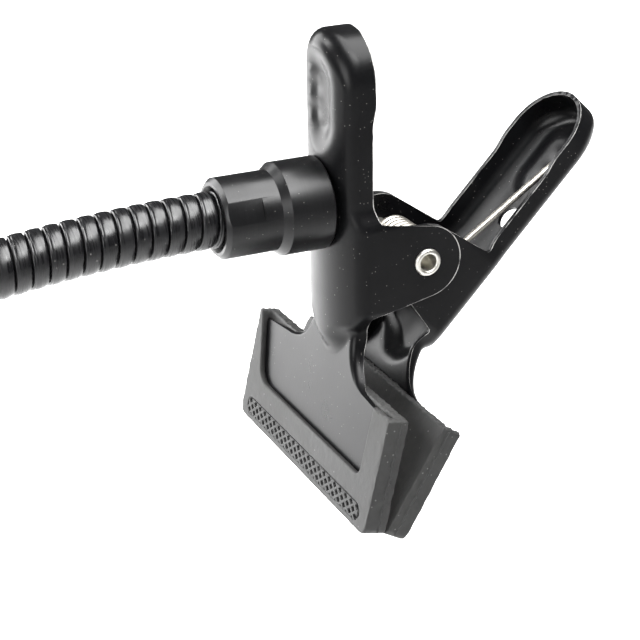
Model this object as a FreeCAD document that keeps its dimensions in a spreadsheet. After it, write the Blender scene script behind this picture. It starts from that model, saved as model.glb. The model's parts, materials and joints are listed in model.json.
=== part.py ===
"""Spring clamp with wide rubber jaws on a flexible gooseneck arm.

Frame: +Z runs up along the handle of the outer lever, +X runs from the outer lever towards
the inner one, and the pivot pin lies along Y. The origin is the middle of the line where the
two rubber jaws meet. Each lever is drawn round its own pivot, with the pivot at (0, 0).
"""
import FreeCAD, Part
import Sketcher
import math
import os

V = FreeCAD.Vector
X_AXIS = V(1, 0, 0)
Y_AXIS = V(0, 1, 0)
Z_AXIS = V(0, 0, 1)

doc = FreeCAD.newDocument("SpringClamp")

# ---------------------------------------------------------------- driving dimensions, in mm
SIZES = [
    # pressed levers
    ("gauge", 1.2, "thickness of the lever sheet"),
    ("handle_top", 65.9, "pivot to the end of a handle"),
    ("handle_half", 14.5, "half the width of a handle"),
    ("ear_half", 16.95, "half the width over the outer lever's ears"),
    ("ear_gap", 0.25, "gap between the outer and the inner ears"),
    ("ear_radius", 10.66, "tip radius of an ear"),
    ("ear_rise", 0.4, "how far above its tip radius an ear keeps its full width"),
    ("ear_drop", 2.0, "how far below its tip radius an ear keeps its full width"),
    ("ear_flare", 7.0, "height of the step from the handle out to an ear"),
    ("ear_taper", 3.5, "height of the step from an ear in to the neck"),
    ("ear_slope", 9.23, "slope of an ear's upper edge, degrees"),
    ("ear_fall", 12.0, "slope of an ear's lower edge, degrees"),
    ("brow_gap", 1.5, "handle's flange edge to the end of the ear's upper slope"),
    ("brow_height", 5.0, "height of the bend from the ear's slope to the flange edge"),
    ("web_back", 21.9, "pivot to the back corners of a lever"),
    ("crown_rise", 4.0, "how far the web bulges past its corners"),
    ("flange_edge", 15.6, "pivot to the free edge of a handle's flanges"),
    ("neck_x", 17.2, "pivot to the free edge of the neck's flanges"),
    ("neck_half", 13.3, "half the width of the neck"),
    ("neck_radius", 13.5, "radius of the sweep from the neck to the jaw plate"),
    ("neck_drop", 7.0, "ear's lower end to the start of that sweep"),
    ("neck_edge_low_x", 19.4, "pivot to the neck's flange edge at its lower bend"),
    ("neck_edge_low_z", 27.0, "height of that bend below the pivot"),
    ("neck_edge_high_z", 21.5, "height below the pivot where the neck's edge leaves its line"),
    ("crown_knee", 7.66, "height below the pivot where the crown starts to fade"),
    ("crown_foot", 28.0, "height below the pivot where the crown has faded out"),
    ("plate_half", 41.5, "half the width of the jaw plate"),
    ("plate_length", 29.0, "how deep the jaw plate reaches into its boot"),
    ("plate_drop", 1.5, "fall of the jaw plate's top edge from the sweep to its side"),
    ("plate_corner", 3.0, "corner size of the jaw plate"),
    ("lean_angle", 13.36, "lean of the jaw plate off the handle's line, degrees"),
    ("grip_low", 32.0, "height of the finger recess's lower end"),
    ("grip_half", 9.6, "half the width of the finger recess"),
    ("grip_floor", 22.6, "pivot to the floor of the finger recess"),
    ("grip_rim", 5.2, "handle end to the finger recess"),
    ("ridge_count", 3, "finger ridges"),
    ("ridge_pitch", 6.8, "spacing of the finger ridges"),
    ("ridge_radius", 2.4, "radius of a finger ridge"),
    ("ridge_rise", 1.1, "height of a finger ridge above the recess floor"),
    ("spare_hole_radius", 3.5, "hole in the inner lever's handle"),
    ("spare_hole_height", 26.5, "height of that hole above the pivot"),
    # rubber jaw boots
    ("boot_top_x", 25.93, "pivot back to the boot's outer top edge"),
    ("boot_top_z", 31.73, "pivot down to the boot's outer top edge"),
    ("boot_half", 44.8, "half the width of a boot"),
    ("boot_height", 35.1, "height of a boot"),
    ("boot_thick", 6.35, "thickness of a boot at its top"),
    ("boot_tip_thick", 6.85, "thickness of a boot at its gripping edge"),
    ("boot_face", 1.8, "rubber outside the jaw plate"),
    ("boot_bevel", 1.2, "bevel along the boot's outer bottom edge"),
    ("window_half", 34.5, "window's square side, from the middle"),
    ("window_slant", 42.4, "window's slanted side at the top, from the middle"),
    ("window_foot", 35.2, "window's slanted side at the foot, from the middle"),
    ("window_depth", 21.0, "boot's top to the window's foot"),
    ("window_corner", 3.0, "corner size of the window"),
    ("window_corner_far", 4.8, "corner length along the foot, on the slanted side"),
    ("tip_gap", 0.2, "gap between the closed jaws"),
    # pivot
    ("rivet_head_radius", 4.0, "rivet head"),
    ("rivet_head_height", 1.0, "rivet head"),
    ("rivet_radius", 3.2, "rivet shank"),
    ("rivet_bore_radius", 2.5, "hole through the rivet"),
    ("rivet_play", 0.08, "running clearance of the inner ears on the rivet"),
    ("spring_wire", 2.0, "torsion spring wire"),
    ("coil_radius", 6.0, "coil, to the middle of the wire"),
    ("coil_pitch", 2.08, "coil pitch"),
    ("coil_turns", 9.0, "turns between the two legs"),
    ("coil_over", 0.4, "how far the coil reaches past the inside of a handle's flange"),
    ("leg_height", 53.5, "pivot to the end of a spring leg, up the handle"),
    ("leg_inset", 2.9, "how far a leg's end moves in from its coil end"),
    ("leg_gap", 0.15, "leg to the handle that it lies on"),
    # collar, the same turned part at both ends of the arm
    ("collar_height", 16.9, "arm's axis above the pivot"),
    ("collar_radius", 13.2, "collar's larger diameter"),
    ("collar_seat", 13.05, "length of the larger diameter"),
    ("collar_bevel", 2.2, "length of the cone between the diameters"),
    ("edge_bevel", 0.5, "bevel on the collar's end and on the rivet's heads"),
    ("nose_radius", 11.4, "collar's smaller diameter"),
    ("nose_length", 16.25, "length of the smaller diameter"),
    ("nose_rim", 1.2, "bevel on the collar's mouth"),
    ("socket_play", 0.3, "clearance of the arm in its socket"),
    ("mouth_radius", 9.3, "flared mouth of the socket"),
    ("mouth_depth", 1.6, "depth of the flare"),
    ("socket_depth", 14.0, "depth of the arm's socket"),
    ("flat_depth", 0.45, "depth of the wrench flats"),
    ("flat_length", 11.0, "length of the wrench flats"),
    ("flat_turn", 23.0, "turn of the flats about the arm, degrees"),
    ("thread_radius", 3.4, "tapped hole in the collar"),
    ("thread_length", 11.0, "length of the tapped hole"),
    ("core_bore", 4.7, "hole behind the socket"),
    # screw and lock washer inside the outer lever
    ("screw_radius", 3.3, "screw shank"),
    ("screw_length", 13.6, "screw shank under its head"),
    ("screw_play", 0.3, "screw in the lever's hole"),
    ("screw_head_radius", 6.3, "screw head"),
    ("screw_head_height", 4.2, "screw head"),
    ("screw_bevel", 0.7, "bevel on the screw's head and tip"),
    ("screw_socket", 5.0, "across the flats of the key socket"),
    ("socket_share", 0.6, "depth of the key socket, as a share of the head"),
    ("washer_radius", 7.2, "lock washer"),
    ("washer_height", 1.6, "lock washer"),
    ("washer_gap", 0.05, "lock washer to the lever's web"),
    # gooseneck
    ("arm_radius", 8.0, "gooseneck, outside"),
    ("arm_wall", 1.4, "outer wire, in the depth of the wall"),
    ("core_gap", 0.1, "between the two wires"),
    ("core_wall", 1.8, "round wire inside"),
    ("arm_length", 160.0, "free length between the two collars, along the arm"),
    ("arm_bend_radius", 500.0, "radius of the arm's resting bend"),
    ("arm_end_play", 0.5, "arm's end to the bottom of its socket"),
    ("arm_joints", 8, "places where the arm bends"),
]

sheet = doc.addObject("Spreadsheet::Sheet", "Sizes")
for row, (alias, value, meaning) in enumerate(SIZES, start=1):
    sheet.set("A%d" % row, meaning)
    sheet.set("B%d" % row, str(value))
    sheet.setAlias("B%d" % row, alias)
doc.recompute()


def size(alias):
    """A driving dimension, read back from the sheet."""
    return float(sheet.get(alias))


PARTS = []


def keep(piece, label):
    """Name a finished sub-part after the file that it goes to."""
    piece.Label = label
    PARTS.append(piece)
    return piece


def origin_plane(body, role):
    """One of a body's own origin planes."""
    for feature in body.Origin.OriginFeatures:
        if feature.Role == role:
            return feature
    raise RuntimeError("no plane " + role)


def outline(body, name, role, corners):
    """A closed sketch on a body's origin plane: each corner is an (across, up) expression."""
    sketch = body.newObject("Sketcher::SketchObject", name)
    sketch.AttachmentSupport = [(origin_plane(body, role), "")]
    sketch.MapMode = "FlatFace"
    count = len(corners)
    ring = []
    for index in range(count):
        turn = 2 * math.pi * index / count
        ring.append(V(10 * math.cos(turn), 10 * math.sin(turn), 0))
    for index in range(count):
        sketch.addGeometry(Part.LineSegment(ring[index], ring[(index + 1) % count]), False)
    for index in range(count):
        join = Sketcher.Constraint("Coincident", index, 2, (index + 1) % count, 1)
        sketch.addConstraint(join)
    for index, (across, up) in enumerate(corners):
        for kind, start, formula in (("DistanceX", ring[index].x, across),
                                     ("DistanceY", ring[index].y, up)):
            limit = Sketcher.Constraint(kind, -1, 1, index, 1, start)
            number = sketch.addConstraint(limit)
            sketch.setExpression("Constraints[%d]" % number, formula)
    return sketch


def turned(name, role, corners):
    """A body turned about the horizontal axis of its sketch."""
    body = doc.addObject("PartDesign::Body", name)
    sketch = outline(body, name + "_section", role, corners)
    turn = body.newObject("PartDesign::Revolution", name + "_turned")
    turn.Profile = sketch
    turn.ReferenceAxis = (sketch, ["H_Axis"])
    turn.Angle = 360
    doc.recompute()
    return body


# ---------------------------------------------------------------- where the pieces stand
lean = math.radians(size("lean_angle"))
boot_top = V(-size("boot_top_x"), 0, -size("boot_top_z"))
inward = V(math.cos(lean), 0, -math.sin(lean))
upward = V(math.sin(lean), 0, math.cos(lean))
tip = boot_top + inward * size("boot_tip_thick") - upward * size("boot_height")
tip_angle = math.atan2(-tip.x, -tip.z)
gap_angle = math.asin(size("tip_gap") / 2 / tip.Length)
half_angle = tip_angle - gap_angle
grip_reach = tip.Length * math.cos(gap_angle)
PIVOT = V(grip_reach * math.sin(half_angle), 0, grip_reach * math.cos(half_angle))

TO_OUTER = FreeCAD.Placement(PIVOT, FreeCAD.Rotation(Y_AXIS, 0))
TURN_ROUND = FreeCAD.Rotation(Z_AXIS, 180)
TILT = FreeCAD.Rotation(Y_AXIS, math.degrees(2 * half_angle))
TO_INNER = FreeCAD.Placement(PIVOT, TILT.multiply(TURN_ROUND))
BOOT_IN_LEVER = FreeCAD.Placement(boot_top, FreeCAD.Rotation(Y_AXIS, size("lean_angle")))

crown_x = size("web_back") + size("crown_rise")
mouth_x = crown_x + size("collar_seat") + size("collar_bevel") + size("nose_length")


# ---------------------------------------------------------------- the two pressed levers
def polygon_block(points, direction):
    """A closed outline pushed along a direction."""
    wire = Part.makePolygon(points + [points[0]])
    return Part.Face(wire).extrude(direction)


def front_outline(ear_half, inset):
    """The lever seen from behind, as a block along X: round handle, ears, neck and plate."""
    depth = 2 * crown_x
    handle = size("handle_half") - inset
    ear = ear_half - inset
    top = size("handle_top") - inset
    shoulder = size("handle_top") - size("handle_half")
    ear_high = size("ear_radius") + size("ear_rise")
    ear_low = -size("ear_radius") - size("ear_drop")
    neck = size("neck_half") - inset
    sweep = size("neck_radius") + inset
    sweep_y = size("neck_half") + size("neck_radius")
    sweep_z = ear_low - size("neck_drop")
    foot = sweep_z - sweep
    x = -depth

    def sides(sign):
        """The straight edges of one side, from the handle down to the neck."""
        flare = ear_high + size("ear_flare")
        spots = [(handle, shoulder), (handle, flare), (ear, ear_high), (ear, ear_low)]
        spots += [(neck, ear_low - size("ear_taper")), (neck, sweep_z)]
        return [V(x, sign * y, z) for y, z in spots]

    right = sides(1)
    left = sides(-1)
    edges = [Part.Arc(left[0], V(x, 0, top), right[0]).toShape()]
    diagonal = math.sqrt(0.5)
    for spots, sign in ((right, 1), (left, -1)):
        for first, second in zip(spots, spots[1:]):
            edges.append(Part.makeLine(first, second))
        middle = V(x, sign * (sweep_y - sweep * diagonal), sweep_z - sweep * diagonal)
        last = V(x, sign * sweep_y, foot)
        edges.append(Part.Arc(spots[-1], middle, last).toShape())
        if inset > 0:
            edges.append(Part.makeLine(last, V(x, 0, foot)))
        else:
            low = plate_foot.z
            wide = size("plate_half")
            cut = size("plate_corner")
            side_top = foot - size("plate_drop")
            chain = [last, V(x, sign * wide, side_top), V(x, sign * wide, low + cut)]
            chain.append(V(x, sign * (wide - cut), low))
            chain.append(V(x, 0, low))
            for first, second in zip(chain, chain[1:]):
                edges.append(Part.makeLine(first, second))
    wire = Part.Wire(Part.__sortEdges__(edges))
    return Part.Face(wire).extrude(V(2 * depth, 0, 0))


plate_out = boot_top + inward * size("boot_face")
plate_in = plate_out + inward * size("gauge")
plate_foot = plate_out - upward * size("plate_length")


def on_plate(start, height):
    """The point of a line along the jaw plate that lies at a height."""
    return start + upward * ((height - start.z) / upward.z)


def crown(inset):
    """The bulged back of a lever: a wide cylinder that stands along Z."""
    rise = size("crown_rise")
    half = size("handle_half")
    radius = (half * half + rise * rise) / (2 * rise)
    low = -2 * size("boot_top_z")
    tall = 2 * size("handle_top") - low
    base = V(radius - crown_x, 0, low)
    return Part.makeCylinder(radius - inset, tall, base, Z_AXIS)


def side_outline(inset):
    """The lever seen from the side, as a block along Y. It reaches a gauge past the web."""
    back = -crown_x + inset - size("gauge")
    top = size("handle_top") + size("gauge")
    edge = -size("flange_edge")
    ear = size("ear_radius")
    knee = -size("crown_knee")
    fade = on_plate(plate_out + inward * inset, -size("crown_foot"))
    low_out = on_plate(plate_out + inward * inset, boot_top.z - size("gauge"))
    width = 2 * size("boot_half")
    if inset > 0:
        below = low_out + V(0, 0, -ear)
        spots = [V(back, 0, top), V(back, 0, knee), fade, low_out, below]
        spots += [V(2 * ear, 0, below.z), V(2 * ear, 0, top)]
        block = [spot + V(0, -width / 2, 0) for spot in spots]
        return polygon_block(block, V(0, width, 0))
    neck = -size("neck_x")
    slope = math.radians(size("ear_slope"))
    high = V(ear * math.sin(slope), 0, ear * math.cos(slope))
    reach = (high.x - edge - size("brow_gap")) / math.cos(slope)
    brow = high + V(-math.cos(slope), 0, math.sin(slope)) * reach
    fall = math.radians(size("ear_fall"))
    low = V(ear * math.sin(fall), 0, -ear * math.cos(fall))
    run = (low.x - neck) / math.cos(fall)
    chin = low + V(-math.cos(fall), 0, -math.sin(fall)) * run
    bend = brow.z + size("brow_height")
    spots = [high, brow, V(edge, 0, bend), V(edge, 0, top), V(back, 0, top)]
    spots += [V(back, 0, knee), fade, low_out, plate_in - upward * size("gauge"), plate_in]
    spots.append(V(-size("neck_edge_low_x"), 0, -size("neck_edge_low_z")))
    spots += [V(neck, 0, -size("neck_edge_high_z")), chin, low]
    shift = V(0, -width / 2, 0)
    edges = [Part.makeLine(a + shift, b + shift) for a, b in zip(spots, spots[1:])]
    edges.append(Part.Arc(low + shift, V(ear, 0, 0) + shift, high + shift).toShape())
    return Part.Face(Part.Wire(edges)).extrude(V(0, width, 0))


def finger_recess(inset):
    """The slot-shaped recess in a handle, as a block that cuts the web from behind."""
    half = size("grip_half") + inset
    low = size("grip_low") + size("grip_half")
    high = size("handle_top") - size("grip_rim") - size("grip_half")
    floor = size("grip_floor") - inset
    deep = 2 * crown_x - floor
    start = -2 * crown_x
    slot = Part.makeBox(deep, 2 * half, high - low, V(start, -half, low))
    slot = slot.fuse(Part.makeCylinder(half, deep, V(start, 0, low), X_AXIS))
    slot = slot.fuse(Part.makeCylinder(half, deep, V(start, 0, high), X_AXIS))
    return slot.removeSplitter()


def lever_shape(ear_half, bolt_radius, bolt_height, pin_radius):
    """One lever: sheet bent to a channel, with ears, a crowned web, a recess and a jaw plate."""
    gauge = size("gauge")
    outside = side_outline(0).common(crown(0)).common(front_outline(ear_half, 0))
    inside = side_outline(gauge).common(crown(gauge)).common(front_outline(ear_half, gauge))
    slab_low = plate_in - upward * size("plate_length")
    above = upward * 2 * gauge
    slab = [plate_out + above, plate_foot, slab_low, plate_in + above]
    width = 2 * size("boot_half")
    plate = polygon_block([spot + V(0, -width / 2, 0) for spot in slab], V(0, width, 0))
    plate = plate.common(front_outline(ear_half, 0))
    outside = outside.cut(finger_recess(0))
    inside = inside.cut(finger_recess(gauge))
    shape = outside.cut(inside).fuse(plate)
    middle = (size("grip_low") + size("handle_top") - size("grip_rim")) / 2
    reach = size("grip_half") - size("ridge_radius") / 2
    for index in range(int(size("ridge_count"))):
        height = middle + (index - (size("ridge_count") - 1) / 2) * size("ridge_pitch")
        sunk = size("ridge_radius") - size("ridge_rise")
        start = V(sunk - size("grip_floor"), -reach, height)
        ridge = Part.makeCylinder(size("ridge_radius"), 2 * reach, start, Y_AXIS)
        limit = Part.makeBox(size("ridge_radius") * 2, 4 * reach, 4 * reach)
        limit.Placement.Base = V(-size("grip_floor") + gauge / 2, -2 * reach, height - 2 * reach)
        shape = shape.fuse(ridge.cut(limit))
    pin = Part.makeCylinder(pin_radius, 4 * ear_half, V(0, -2 * ear_half, 0), Y_AXIS)
    bolt_start = V(-1.5 * crown_x, 0, bolt_height)
    bolt = Part.makeCylinder(bolt_radius, crown_x, bolt_start, X_AXIS)
    return shape.cut(pin).cut(bolt).removeSplitter()


def lever(label, ear_half, bolt_radius, bolt_height, pin_radius, place):
    """A lever as a feature of the document; only its ears and its one hole differ."""
    piece = doc.addObject("Part::Feature", label)
    piece.Shape = lever_shape(ear_half, bolt_radius, bolt_height, pin_radius)
    piece.Placement = place
    return keep(piece, label)


inner_ear_half = size("ear_half") - size("gauge") - size("ear_gap")
lever("outer_lever", size("ear_half"), size("screw_radius") + size("screw_play"),
      size("collar_height"), size("rivet_radius"), TO_OUTER)
lever("inner_lever", inner_ear_half, size("spare_hole_radius"), size("spare_hole_height"),
      size("rivet_radius") + size("rivet_play"), TO_INNER)


# ---------------------------------------------------------------- rubber jaw boots
def jaw_boot(label, lever_place):
    """A moulded sleeve over the jaw plate, with a window in its outer face."""
    body = doc.addObject("PartDesign::Body", label)
    section = outline(body, label + "_section", "XZ_Plane", [
        ("0", "0"),
        ("Sizes.boot_thick", "0"),
        ("Sizes.boot_tip_thick", "-Sizes.boot_height"),
        ("Sizes.boot_bevel", "-Sizes.boot_height"),
        ("0", "-Sizes.boot_height + Sizes.boot_bevel")])
    block = body.newObject("PartDesign::Pad", label + "_block")
    block.Profile = section
    block.Midplane = True
    block.setExpression("Length", "2 * Sizes.boot_half")
    doc.recompute()
    slot = outline(body, label + "_slot_section", "XZ_Plane", [
        ("Sizes.boot_face", "1"),
        ("Sizes.boot_face + Sizes.gauge", "1"),
        ("Sizes.boot_face + Sizes.gauge", "-Sizes.plate_length"),
        ("Sizes.boot_face", "-Sizes.plate_length")])
    pocket = body.newObject("PartDesign::Pocket", label + "_slot")
    pocket.Profile = slot
    pocket.Midplane = True
    pocket.setExpression("Length", "2 * Sizes.plate_half")
    doc.recompute()
    frame = outline(body, label + "_window_outline", "YZ_Plane", [
        ("-Sizes.window_half", "1"),
        ("-Sizes.window_half", "-Sizes.window_depth + Sizes.window_corner"),
        ("-Sizes.window_half + Sizes.window_corner", "-Sizes.window_depth"),
        ("Sizes.window_foot - Sizes.window_corner_far", "-Sizes.window_depth"),
        ("Sizes.window_foot", "-Sizes.window_depth + Sizes.window_corner"),
        ("Sizes.window_slant", "1")])
    window = body.newObject("PartDesign::Pocket", label + "_window")
    window.Profile = frame
    window.Reversed = True
    window.setExpression("Length", "Sizes.boot_face + Sizes.gauge / 2")
    doc.recompute()
    body.Placement = lever_place.multiply(BOOT_IN_LEVER)
    return keep(body, label)


jaw_boot("outer_jaw_boot", TO_OUTER)
jaw_boot("inner_jaw_boot", TO_INNER)

# ---------------------------------------------------------------- pivot rivet
rivet = turned("pivot_rivet", "YZ_Plane", [
    ("-Sizes.ear_half - Sizes.rivet_head_height", "Sizes.rivet_bore_radius"),
    ("-Sizes.ear_half - Sizes.rivet_head_height", "Sizes.rivet_head_radius - Sizes.edge_bevel"),
    ("-Sizes.ear_half - Sizes.rivet_head_height + Sizes.edge_bevel", "Sizes.rivet_head_radius"),
    ("-Sizes.ear_half", "Sizes.rivet_head_radius"),
    ("-Sizes.ear_half", "Sizes.rivet_radius"),
    ("Sizes.ear_half", "Sizes.rivet_radius"),
    ("Sizes.ear_half", "Sizes.rivet_head_radius"),
    ("Sizes.ear_half + Sizes.rivet_head_height - Sizes.edge_bevel", "Sizes.rivet_head_radius"),
    ("Sizes.ear_half + Sizes.rivet_head_height", "Sizes.rivet_head_radius - Sizes.edge_bevel"),
    ("Sizes.ear_half + Sizes.rivet_head_height", "Sizes.rivet_bore_radius")])
rivet.Placement = TO_OUTER
keep(rivet, "pivot_rivet")


# ---------------------------------------------------------------- torsion spring
def spring_leg(y_from, y_to, place):
    """A straight leg that leaves the coil on a tangent and lies on the web of a handle."""
    radius = size("coil_radius")
    wire = size("spring_wire")
    floor = size("grip_floor") - size("gauge") - wire / 2 - size("leg_gap")
    end = V(-floor, y_to, size("leg_height"))
    reach = math.hypot(end.x, end.z)
    aim = math.atan2(-end.x, end.z) - math.asin(radius / reach)
    start = V(-radius * math.cos(aim), y_from, -radius * math.sin(aim))
    start = place.multVec(start)
    end = place.multVec(end)
    leg = Part.makeCylinder(wire / 2, (end - start).Length, start, end - start)
    return leg.fuse(Part.makeSphere(wire / 2, end))


def spring_shape():
    """A close-wound coil round the rivet, with one leg on each handle."""
    wire = size("spring_wire")
    length = size("coil_pitch") * size("coil_turns") + wire
    near = -(size("handle_half") - size("gauge") + size("coil_over"))
    outside = size("coil_radius") + wire / 2
    coil = Part.makeCylinder(outside, length, V(0, near, 0), Y_AXIS)
    coil = coil.cut(Part.makeCylinder(outside - wire, length, V(0, near, 0), Y_AXIS))
    groove = wire / 4
    for index in range(1, int(size("coil_turns")) + 1):
        y = near + length * index / (size("coil_turns") + 1)
        ring = Part.makeTorus(outside + groove / 2, groove, V(0, y, 0), Y_AXIS)
        coil = coil.cut(ring)
    home = FreeCAD.Placement(V(0, 0, 0), FreeCAD.Rotation(Y_AXIS, 0))
    tilted = FreeCAD.Placement(V(0, 0, 0), TILT.multiply(TURN_ROUND))
    low = near + wire / 2
    high = near + length - wire / 2
    leg_in = spring_leg(-low, -low - size("leg_inset"), tilted)
    leg_out = spring_leg(high, high + size("leg_inset"), home)
    return coil.fuse(leg_in).fuse(leg_out)


spring = doc.addObject("Part::Feature", "torsion_spring")
spring.Shape = spring_shape()
spring.Placement = TO_OUTER
keep(spring, "torsion_spring")


# ---------------------------------------------------------------- collars
def collar(label):
    """A turned collar along X: tapped seat at 0, socket for the arm at its far end."""
    body = turned(label + "_turning", "XZ_Plane", [
        ("0", "Sizes.thread_radius"),
        ("0", "Sizes.collar_radius - Sizes.edge_bevel"),
        ("Sizes.edge_bevel", "Sizes.collar_radius"),
        ("Sizes.collar_seat", "Sizes.collar_radius"),
        ("Sizes.collar_seat + Sizes.collar_bevel", "Sizes.nose_radius"),
        ("Sizes.collar_seat + Sizes.collar_bevel + Sizes.nose_length - Sizes.nose_rim",
         "Sizes.nose_radius"),
        ("Sizes.collar_seat + Sizes.collar_bevel + Sizes.nose_length",
         "Sizes.nose_radius - Sizes.nose_rim"),
        ("Sizes.collar_seat + Sizes.collar_bevel + Sizes.nose_length", "Sizes.mouth_radius"),
        ("Sizes.collar_seat + Sizes.collar_bevel + Sizes.nose_length - Sizes.mouth_depth",
         "Sizes.arm_radius + Sizes.socket_play"),
        ("Sizes.collar_seat + Sizes.collar_bevel + Sizes.nose_length - Sizes.socket_depth",
         "Sizes.arm_radius + Sizes.socket_play"),
        ("Sizes.collar_seat + Sizes.collar_bevel + Sizes.nose_length - Sizes.socket_depth",
         "Sizes.core_bore"),
        ("Sizes.thread_length", "Sizes.core_bore"),
        ("Sizes.thread_length", "Sizes.thread_radius")])
    flats = []
    for side in (1, -1):
        flat = doc.addObject("Part::Box", label + "_flat")
        flat.setExpression("Length", "Sizes.flat_length")
        flat.Width = 2 * size("nose_radius")
        flat.Height = size("nose_radius")
        turn = FreeCAD.Rotation(X_AXIS, 90 * side - size("flat_turn"))
        corner = V(mouth_x - crown_x - size("flat_length"), -size("nose_radius"),
                   size("nose_radius") - size("flat_depth"))
        flat.Placement = FreeCAD.Placement(turn.multVec(corner), turn)
        flats.append(flat)
    pair = doc.addObject("Part::MultiFuse", label + "_flats")
    pair.Shapes = flats
    piece = doc.addObject("Part::Cut", label)
    piece.Base = body
    piece.Tool = pair
    return piece


arm_axis = PIVOT + V(0, 0, size("collar_height"))
TOWARDS_ARM = FreeCAD.Rotation(Z_AXIS, 180)
clamp_collar = collar("clamp_collar")
clamp_collar.Placement = FreeCAD.Placement(arm_axis + V(-crown_x, 0, 0), TOWARDS_ARM)
keep(clamp_collar, "clamp_collar")



def on_arm(run, beyond=0):
    """A place on the arm's line, a run from the clamp collar's mouth and straight on beyond it.

    Its own -X points along the arm, away from the clamp."""
    turn = run / size("arm_bend_radius")
    centre = arm_axis + V(-mouth_x, 0, -size("arm_bend_radius"))
    spot = centre + V(-math.sin(turn), 0, math.cos(turn)) * size("arm_bend_radius")
    spot += V(-math.cos(turn), 0, -math.sin(turn)) * beyond
    return FreeCAD.Placement(spot, FreeCAD.Rotation(Y_AXIS, -math.degrees(turn)))


end_collar = collar("end_collar")
end_collar.Placement = on_arm(size("arm_length"), mouth_x - crown_x)
keep(end_collar, "end_collar")

# ---------------------------------------------------------------- screw and lock washer
half_chord = size("washer_radius")
crown_radius = (size("handle_half") ** 2 + size("crown_rise") ** 2) / (2 * size("crown_rise"))
dip = (half_chord ** 2) / (2 * (crown_radius - size("gauge")))
washer_x = -crown_x + size("gauge") + dip + size("washer_gap")
screw = turned("collar_screw", "XZ_Plane", [
    ("0", "0"),
    ("Sizes.screw_head_height", "0"),
    ("Sizes.screw_head_height", "Sizes.screw_head_radius - Sizes.screw_bevel"),
    ("Sizes.screw_head_height - Sizes.screw_bevel", "Sizes.screw_head_radius"),
    ("0", "Sizes.screw_head_radius"),
    ("0", "Sizes.screw_radius"),
    ("-Sizes.screw_length + Sizes.screw_bevel", "Sizes.screw_radius"),
    ("-Sizes.screw_length", "Sizes.screw_radius - Sizes.screw_bevel"),
    ("-Sizes.screw_length", "0")])
key_corners = []
for index in range(6):
    key_turn = math.radians(60 * index)
    key_corners.append(("Sizes.screw_socket / sqrt(3) * %.6f" % math.cos(key_turn),
                        "Sizes.screw_socket / sqrt(3) * %.6f" % math.sin(key_turn)))
key = outline(screw, "key_outline", "YZ_Plane", key_corners)
key.setExpression("AttachmentOffset.Base.z", "Sizes.screw_head_height")
socket = screw.newObject("PartDesign::Pocket", "key_socket")
socket.Profile = key
socket.setExpression("Length", "Sizes.screw_head_height * Sizes.socket_share")
screw.Placement = FreeCAD.Placement(arm_axis + V(washer_x + size("washer_height"), 0, 0),
                                    FreeCAD.Rotation(X_AXIS, 0))
keep(screw, "collar_screw")


def tube(label, outer, inner, length):
    """A plain tube along its own Z, sized by expressions."""
    rod = doc.addObject("Part::Cylinder", label + "_rod")
    rod.setExpression("Radius", outer)
    rod.setExpression("Height", length)
    hole = doc.addObject("Part::Cylinder", label + "_hole")
    hole.setExpression("Radius", inner)
    hole.setExpression("Height", length)
    piece = doc.addObject("Part::Cut", label)
    piece.Base = rod
    piece.Tool = hole
    return piece


ALONG_X = FreeCAD.Rotation(Y_AXIS, 90)
washer = tube("lock_washer", "Sizes.washer_radius", "Sizes.screw_radius + Sizes.screw_play",
              "Sizes.washer_height")
washer.Placement = FreeCAD.Placement(arm_axis + V(washer_x, 0, 0), ALONG_X)
keep(washer, "lock_washer")

# ---------------------------------------------------------------- gooseneck
RING_ABOUT_Y = FreeCAD.Rotation(Z_AXIS, -X_AXIS, -Y_AXIS, "ZXY")
arm_centre = arm_axis + V(-mouth_x, 0, -size("arm_bend_radius"))


def bent_tube(label, outer, inner, start, run):
    """A tube bent to the arm's resting line, from a run along it and as long as an expression."""
    rings = []
    for name, radius in ((label + "_rod", outer), (label + "_hole", inner)):
        ring = doc.addObject("Part::Torus", name)
        ring.setExpression("Radius1", "Sizes.arm_bend_radius")
        ring.setExpression("Radius2", radius)
        ring.setExpression("Angle3", "(" + run + ") / Sizes.arm_bend_radius * 180 / pi")
        rings.append(ring)
    piece = doc.addObject("Part::Cut", label)
    piece.Base, piece.Tool = rings
    turn = FreeCAD.Rotation(Z_AXIS, math.degrees(start / size("arm_bend_radius")))
    piece.Placement = FreeCAD.Placement(arm_centre, RING_ABOUT_Y.multiply(turn))
    return keep(piece, label)


joints = int(size("arm_joints"))
step = size("arm_length") / joints
inserted = size("socket_depth") - size("arm_end_play")
starts = [-inserted]
for index in range(joints):
    starts.append((index + 0.5) * step)
for index, start in enumerate(starts):
    run = "Sizes.arm_length / Sizes.arm_joints"
    if index in (0, joints):
        run += " / 2 + Sizes.socket_depth - Sizes.arm_end_play"
    bent_tube("gooseneck_wrap_%d" % index, "Sizes.arm_radius",
              "Sizes.arm_radius - Sizes.arm_wall", start, run)
    bent_tube("gooseneck_core_%d" % index, "Sizes.arm_radius - Sizes.arm_wall - Sizes.core_gap",
              "Sizes.arm_radius - Sizes.arm_wall - Sizes.core_gap - Sizes.core_wall", start, run)

# ---------------------------------------------------------------- check and write
doc.recompute()
for thing in doc.Objects:
    for word in ("Invalid", "Error"):
        if word in thing.State:
            raise RuntimeError(thing.Name + " is " + word)
for piece in PARTS:
    if piece.Shape.isNull() or not piece.Shape.isValid():
        raise RuntimeError(piece.Label + " has no valid shape")
    if len(piece.Shape.Solids) != 1:
        raise RuntimeError(piece.Label + " is not one solid")

os.makedirs("parts", exist_ok=True)
for piece in PARTS:
    piece.Shape.exportStep("parts/" + piece.Label + ".step")

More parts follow.
